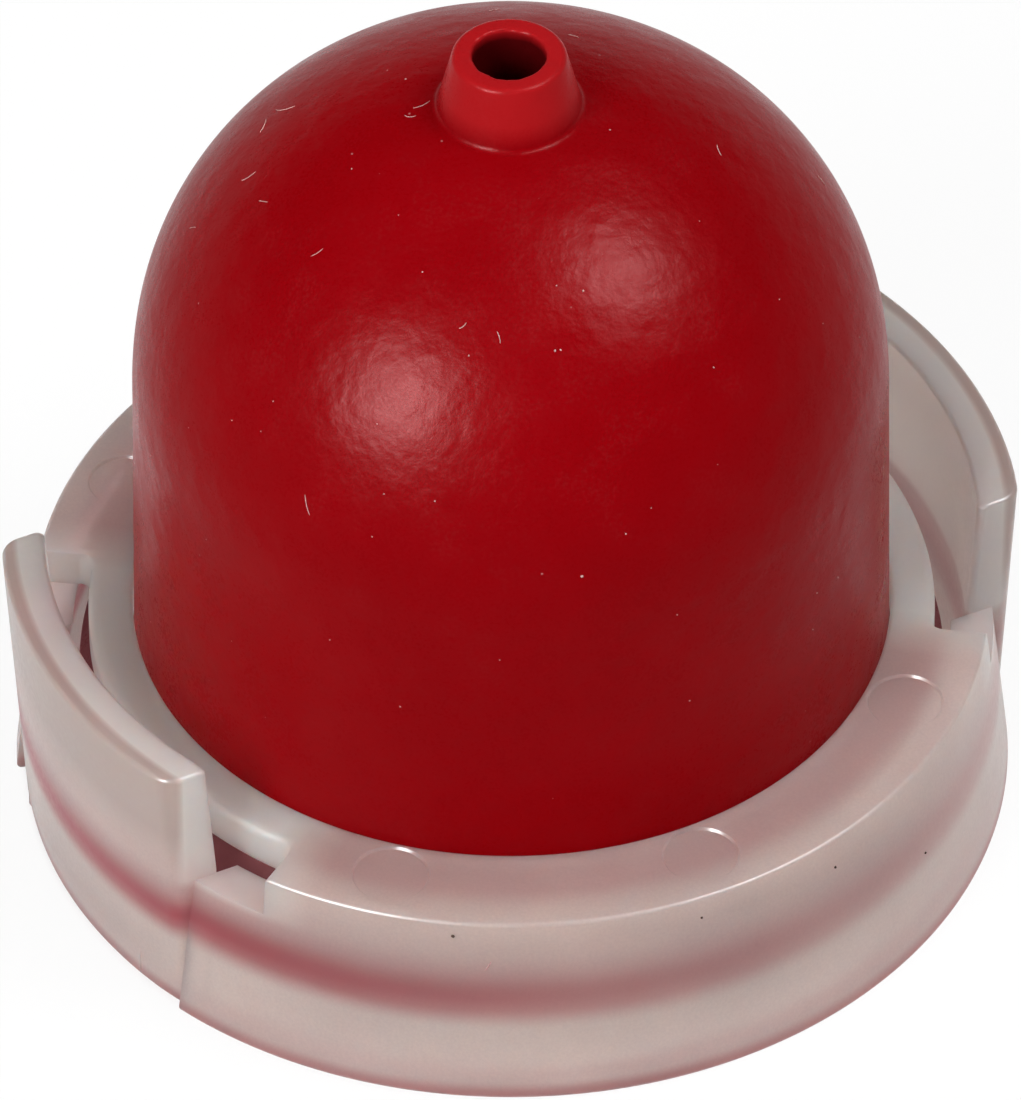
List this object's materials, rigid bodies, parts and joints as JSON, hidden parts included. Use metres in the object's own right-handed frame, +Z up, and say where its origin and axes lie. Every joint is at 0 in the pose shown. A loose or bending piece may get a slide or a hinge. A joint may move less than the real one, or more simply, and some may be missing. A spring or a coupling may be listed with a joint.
{
  "type": "primer bulb",
  "caption": "Soft red pumping dome, open below, with a vented nipple on top, its foot held in a milky plastic retainer ring with raised finger tabs.",
  "frame": {"origin": "centre of the retainer ring's bottom rim, on the axis of the dome, where the part stands", "axes": "+Z up the dome's axis towards the nipple, -Y towards the side between the two finger tabs that the picture shows"},
  "size_m": [0.038, 0.0378, 0.0347],
  "materials": {
    "red_rubber": "satin moulded rubber",
    "natural_plastic": "milky, slightly see-through moulding"
  },
  "bodies": {
    "root": {"bulb": "red_rubber", "retainer_ring": "natural_plastic"}
  },
  "joints": []
}
